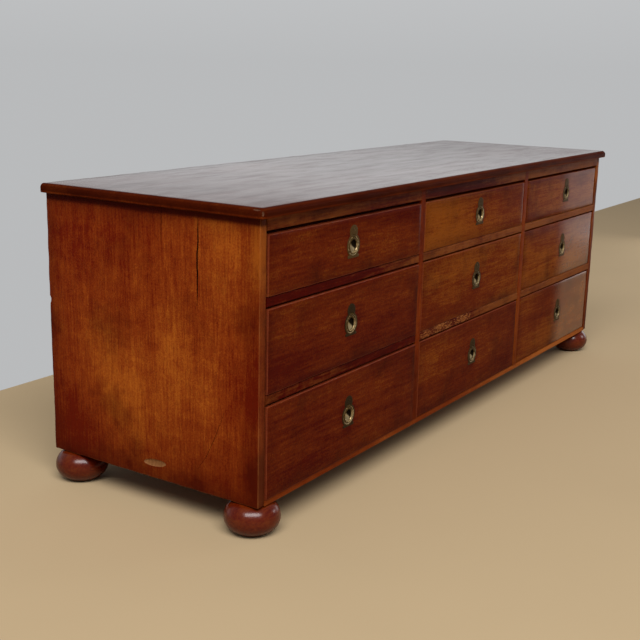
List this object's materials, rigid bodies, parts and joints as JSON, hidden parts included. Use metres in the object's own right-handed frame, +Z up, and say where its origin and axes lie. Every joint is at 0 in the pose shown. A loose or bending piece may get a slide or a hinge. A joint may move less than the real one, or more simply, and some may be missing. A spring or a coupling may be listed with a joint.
{
  "type": "tabletop drawer cabinet",
  "caption": "Long, low tabletop cabinet of graduated drawers with flush brass ring pulls, a rounded overhanging top and turned bun feet.",
  "frame": {"origin": "middle of the outline in plan, on the surface that the feet stand on", "axes": "+Z up, the drawers face -Y, +X to the right of someone who faces them from the front"},
  "size_m": [0.8504, 0.2694, 0.3],
  "materials": {
    "case_wood": "satin",
    "top_wood": "gloss",
    "front_wood": "satin",
    "lining_wood": "matte",
    "foot_wood": "gloss",
    "plate_brass": "satin",
    "ring_brass": "polished"
  },
  "bodies": {
    "case": {"top_board": "top_wood", "left_side_panel": "case_wood", "right_side_panel": "case_wood", "left_divider": "case_wood", "right_divider": "case_wood", "top_rails": "case_wood", "upper_shelves": "case_wood", "lower_shelves": "case_wood", "bottom_board": "case_wood", "back_panel": "lining_wood", "drawer_stops": "lining_wood", "front_left_foot": "foot_wood", "front_right_foot": "foot_wood", "back_left_foot": "foot_wood", "back_right_foot": "foot_wood"},
    "lower_left_drawer": {"lower_left_drawer_front": "front_wood", "lower_left_drawer_box": "lining_wood", "lower_left_pull_plate": "plate_brass", "lower_left_pull_fixings": "plate_brass"},
    "lower_left_ring": {"lower_left_pull_ring": "ring_brass"},
    "lower_centre_drawer": {"lower_centre_drawer_front": "front_wood", "lower_centre_drawer_box": "lining_wood", "lower_centre_pull_plate": "plate_brass", "lower_centre_pull_fixings": "plate_brass"},
    "lower_centre_ring": {"lower_centre_pull_ring": "ring_brass"},
    "lower_right_drawer": {"lower_right_drawer_front": "front_wood", "lower_right_drawer_box": "lining_wood", "lower_right_pull_plate": "plate_brass", "lower_right_pull_fixings": "plate_brass"},
    "lower_right_ring": {"lower_right_pull_ring": "ring_brass"},
    "middle_left_drawer": {"middle_left_drawer_front": "front_wood", "middle_left_drawer_box": "lining_wood", "middle_left_pull_plate": "plate_brass", "middle_left_pull_fixings": "plate_brass"},
    "middle_left_ring": {"middle_left_pull_ring": "ring_brass"},
    "middle_centre_drawer": {"middle_centre_drawer_front": "front_wood", "middle_centre_drawer_box": "lining_wood", "middle_centre_pull_plate": "plate_brass", "middle_centre_pull_fixings": "plate_brass"},
    "middle_centre_ring": {"middle_centre_pull_ring": "ring_brass"},
    "middle_right_drawer": {"middle_right_drawer_front": "front_wood", "middle_right_drawer_box": "lining_wood", "middle_right_pull_plate": "plate_brass", "middle_right_pull_fixings": "plate_brass"},
    "middle_right_ring": {"middle_right_pull_ring": "ring_brass"},
    "upper_left_drawer": {"upper_left_drawer_front": "front_wood", "upper_left_drawer_box": "lining_wood", "upper_left_pull_plate": "plate_brass", "upper_left_pull_fixings": "plate_brass"},
    "upper_left_ring": {"upper_left_pull_ring": "ring_brass"},
    "upper_centre_drawer": {"upper_centre_drawer_front": "front_wood", "upper_centre_drawer_box": "lining_wood", "upper_centre_pull_plate": "plate_brass", "upper_centre_pull_fixings": "plate_brass"},
    "upper_centre_ring": {"upper_centre_pull_ring": "ring_brass"},
    "upper_right_drawer": {"upper_right_drawer_front": "front_wood", "upper_right_drawer_box": "lining_wood", "upper_right_pull_plate": "plate_brass", "upper_right_pull_fixings": "plate_brass"},
    "upper_right_ring": {"upper_right_pull_ring": "ring_brass"}
  },
  "joints": [
    {"name": "lower_left_drawer_slide", "type": "slide", "parent": "case", "child": "lower_left_drawer", "axis": [0, -1, 0], "range_m": [0, 0.19]},
    {"name": "lower_left_ring_hinge", "type": "hinge", "parent": "lower_left_drawer", "child": "lower_left_ring", "pos_m": [-0.269, -0.1278, 0.08885], "axis": [-1, 0, 0], "range_deg": [0, 100]},
    {"name": "lower_centre_drawer_slide", "type": "slide", "parent": "case", "child": "lower_centre_drawer", "axis": [0, -1, 0], "range_m": [0, 0.19]},
    {"name": "lower_centre_ring_hinge", "type": "hinge", "parent": "lower_centre_drawer", "child": "lower_centre_ring", "pos_m": [0.0123, -0.1268, 0.08885], "axis": [-1, 0, 0], "range_deg": [0, 100]},
    {"name": "lower_right_drawer_slide", "type": "slide", "parent": "case", "child": "lower_right_drawer", "axis": [0, -1, 0], "range_m": [0, 0.19]},
    {"name": "lower_right_ring_hinge", "type": "hinge", "parent": "lower_right_drawer", "child": "lower_right_ring", "pos_m": [0.2907, -0.1256, 0.08885], "axis": [-1, 0, 0], "range_deg": [0, 100]},
    {"name": "middle_left_drawer_slide", "type": "slide", "parent": "case", "child": "middle_left_drawer", "axis": [0, -1, 0], "range_m": [0, 0.19]},
    {"name": "middle_left_ring_hinge", "type": "hinge", "parent": "middle_left_drawer", "child": "middle_left_ring", "pos_m": [-0.269, -0.1278, 0.1819], "axis": [-1, 0, 0], "range_deg": [0, 100]},
    {"name": "middle_centre_drawer_slide", "type": "slide", "parent": "case", "child": "middle_centre_drawer", "axis": [0, -1, 0], "range_m": [0, 0.19]},
    {"name": "middle_centre_ring_hinge", "type": "hinge", "parent": "middle_centre_drawer", "child": "middle_centre_ring", "pos_m": [0.0123, -0.1268, 0.1819], "axis": [-1, 0, 0], "range_deg": [0, 100]},
    {"name": "middle_right_drawer_slide", "type": "slide", "parent": "case", "child": "middle_right_drawer", "axis": [0, -1, 0], "range_m": [0, 0.19]},
    {"name": "middle_right_ring_hinge", "type": "hinge", "parent": "middle_right_drawer", "child": "middle_right_ring", "pos_m": [0.2907, -0.1256, 0.1819], "axis": [-1, 0, 0], "range_deg": [0, 100]},
    {"name": "upper_left_drawer_slide", "type": "slide", "parent": "case", "child": "upper_left_drawer", "axis": [0, -1, 0], "range_m": [0, 0.19]},
    {"name": "upper_left_ring_hinge", "type": "hinge", "parent": "upper_left_drawer", "child": "upper_left_ring", "pos_m": [-0.269, -0.1278, 0.2582], "axis": [-1, 0, 0], "range_deg": [0, 100]},
    {"name": "upper_centre_drawer_slide", "type": "slide", "parent": "case", "child": "upper_centre_drawer", "axis": [0, -1, 0], "range_m": [0, 0.19]},
    {"name": "upper_centre_ring_hinge", "type": "hinge", "parent": "upper_centre_drawer", "child": "upper_centre_ring", "pos_m": [0.0123, -0.1268, 0.2582], "axis": [-1, 0, 0], "range_deg": [0, 100]},
    {"name": "upper_right_drawer_slide", "type": "slide", "parent": "case", "child": "upper_right_drawer", "axis": [0, -1, 0], "range_m": [0, 0.19]},
    {"name": "upper_right_ring_hinge", "type": "hinge", "parent": "upper_right_drawer", "child": "upper_right_ring", "pos_m": [0.2907, -0.1256, 0.2582], "axis": [-1, 0, 0], "range_deg": [0, 100]}
  ]
}
